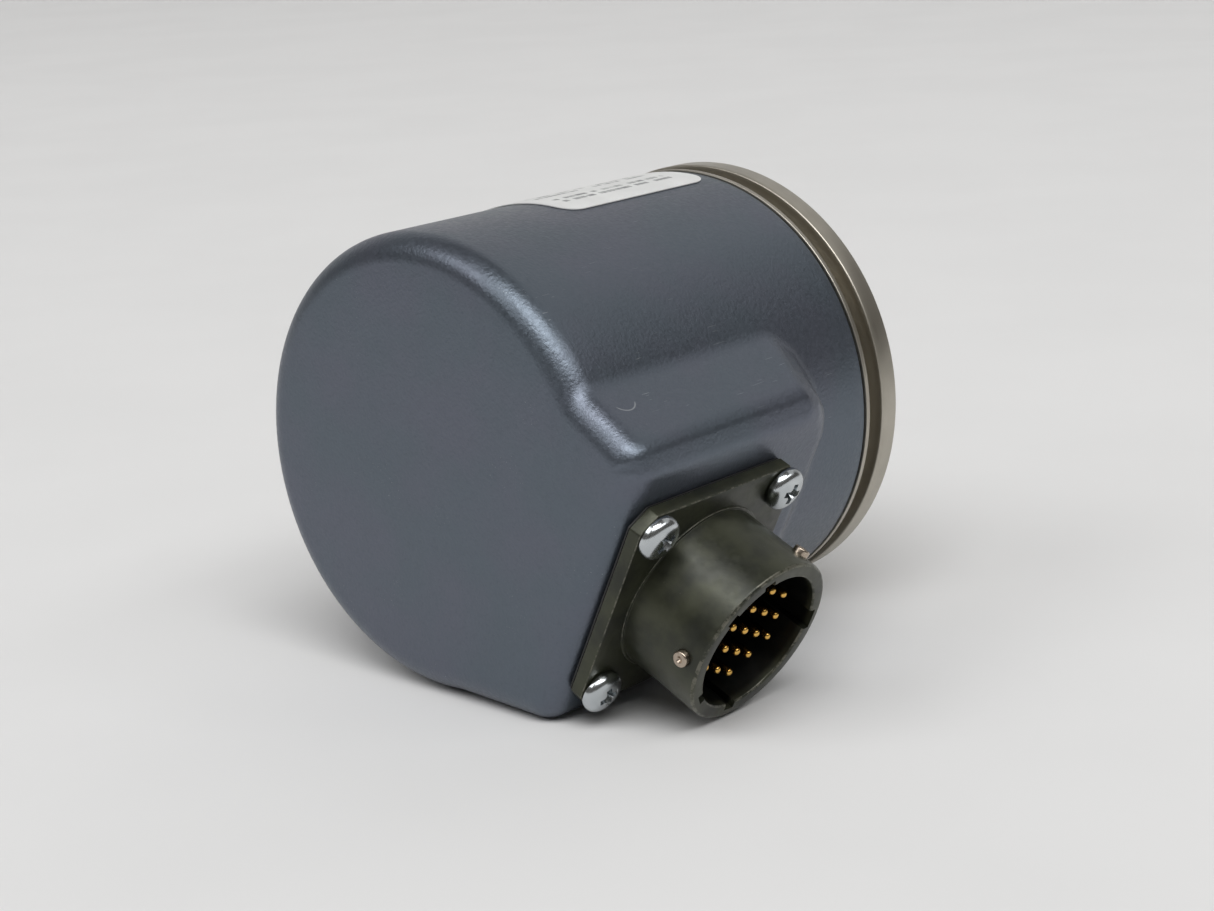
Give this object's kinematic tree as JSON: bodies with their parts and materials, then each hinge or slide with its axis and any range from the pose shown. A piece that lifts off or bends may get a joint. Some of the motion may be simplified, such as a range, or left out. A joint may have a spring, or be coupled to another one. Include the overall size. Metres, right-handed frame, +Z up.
{
  "type": "rotary encoder",
  "caption": "Rotary encoder with a synchro flange and clamp groove, a plain shaft, a rounded cap and a square-flanged multi-pin circular receptacle on a raised side pad.",
  "frame": {"origin": "centre of the shaft's end face", "axes": "+Y along the shaft's axis, out of the flange towards the shaft's end. +Z is up with the encoder lying on its side, on its rim and the corner of the connector's pad. +X is to the right seen from the cap's end, and the connector points 25.75 degrees below it"},
  "size_m": [0.0724, 0.0706, 0.058],
  "materials": {
    "cap_coating": "satin",
    "flange_metal": "satin",
    "shaft_steel": "satin",
    "bearing_steel": "polished",
    "cage_steel": "satin",
    "spring_steel": "satin",
    "seal_rubber": "matte",
    "brass": "satin",
    "disc_glass": "polished",
    "lens_plastic": "gloss",
    "black_plastic": "satin",
    "board_laminate": "satin",
    "connector_plating": "satin",
    "insert_plastic": "satin",
    "contact_gold": "polished",
    "pin_nickel": "satin",
    "screw_zinc": "satin",
    "label_film": "satin",
    "wire_sleeve": "matte"
  },
  "bodies": {
    "housing": {"flange": "flange_metal", "cap": "cap_coating", "cap_seal_ring": "seal_rubber", "label": "label_film", "front_bearing_outer_ring": "bearing_steel", "rear_bearing_outer_ring": "bearing_steel", "wave_spring": "spring_steel", "housing_retaining_ring": "spring_steel", "shaft_seal": "seal_rubber", "light_source_holder": "black_plastic", "light_source_lens": "lens_plastic", "sensor_reticle": "disc_glass", "sensor_chip": "black_plastic", "sensor_board": "board_laminate", "board_standoff_1": "brass", "board_standoff_2": "brass", "board_standoff_3": "brass", "board_screw_1": "screw_zinc", "board_screw_2": "screw_zinc", "board_screw_3": "screw_zinc", "wiring_loom": "wire_sleeve", "connector_shell": "connector_plating", "connector_gasket": "seal_rubber", "connector_insert": "insert_plastic", "contact_pin_01": "contact_gold", "contact_pin_02": "contact_gold", "contact_pin_03": "contact_gold", "contact_pin_04": "contact_gold", "contact_pin_05": "contact_gold", "contact_pin_06": "contact_gold", "contact_pin_07": "contact_gold", "contact_pin_08": "contact_gold", "contact_pin_09": "contact_gold", "contact_pin_10": "contact_gold", "contact_pin_11": "contact_gold", "contact_pin_12": "contact_gold", "contact_pin_13": "contact_gold", "contact_pin_14": "contact_gold", "contact_pin_15": "contact_gold", "contact_pin_16": "contact_gold", "contact_pin_17": "contact_gold", "contact_pin_18": "contact_gold", "contact_pin_19": "contact_gold", "bayonet_pin_1": "pin_nickel", "bayonet_pin_2": "pin_nickel", "bayonet_pin_3": "pin_nickel", "connector_screw_1": "screw_zinc", "connector_screw_2": "screw_zinc", "connector_screw_3": "screw_zinc", "connector_screw_4": "screw_zinc"},
    "rotor": {"shaft": "shaft_steel", "front_bearing_inner_ring": "bearing_steel", "rear_bearing_inner_ring": "bearing_steel", "bearing_spacer": "shaft_steel", "shaft_retaining_ring": "spring_steel", "code_disc_hub": "brass", "code_disc": "disc_glass", "disc_clamp_ring": "brass"},
    "front_balls": {"front_bearing_ball_cage": "cage_steel"},
    "rear_balls": {"rear_bearing_ball_cage": "cage_steel"}
  },
  "joints": [
    {"name": "shaft_spin", "type": "hinge", "parent": "housing", "child": "rotor", "pos_m": [0, -0.0291, 0], "axis": [0, 1, 0], "continuous": true},
    {"name": "front_balls_spin", "type": "hinge", "parent": "housing", "child": "front_balls", "pos_m": [0, -0.0196, 0], "axis": [0, 1, 0], "continuous": true},
    {"name": "rear_balls_spin", "type": "hinge", "parent": "housing", "child": "rear_balls", "pos_m": [0, -0.0385, 0], "axis": [0, 1, 0], "continuous": true}
  ],
  "couplings": [
    {"joint": "front_balls_spin", "follows": "shaft_spin", "ratio": 0.36},
    {"joint": "rear_balls_spin", "follows": "shaft_spin", "ratio": 0.36}
  ]
}
